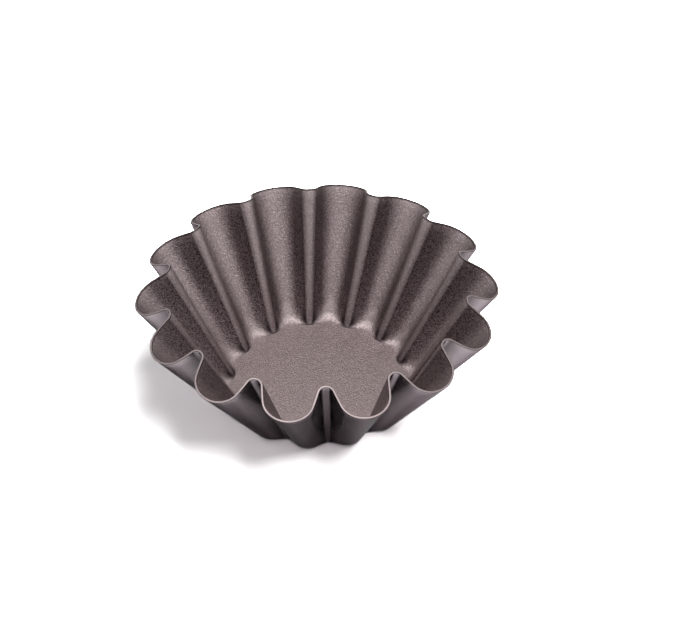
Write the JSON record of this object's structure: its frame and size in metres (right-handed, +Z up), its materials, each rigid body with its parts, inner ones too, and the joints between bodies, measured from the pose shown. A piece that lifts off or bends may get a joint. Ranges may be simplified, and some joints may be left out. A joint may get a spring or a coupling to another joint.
{
  "type": "brioche mould",
  "caption": "Fluted brioche mould: a flared round tin with deep rounded flutes, a wavy trimmed rim and a flat base, with a speckled non-stick lining and dark lacquer outside.",
  "frame": {"origin": "centre of the flat base, on the plane that the mould stands on", "axes": "+Z up along the mould's axis, out of the mouth; +X through one lobe's crest at the rim; +Y through a ridge at the rim"},
  "size_m": [0.08, 0.0784, 0.0298],
  "materials": {
    "bare_steel": "bare sheared edge of the sheet",
    "nonstick_coat": "satin taupe non-stick coat with fine speckle",
    "dark_lacquer": "smooth semi-gloss heatproof lacquer, near black"
  },
  "bodies": {
    "root": {"steel_pressing": "bare_steel", "nonstick_lining": "nonstick_coat", "outer_lacquer": "dark_lacquer"}
  },
  "joints": []
}
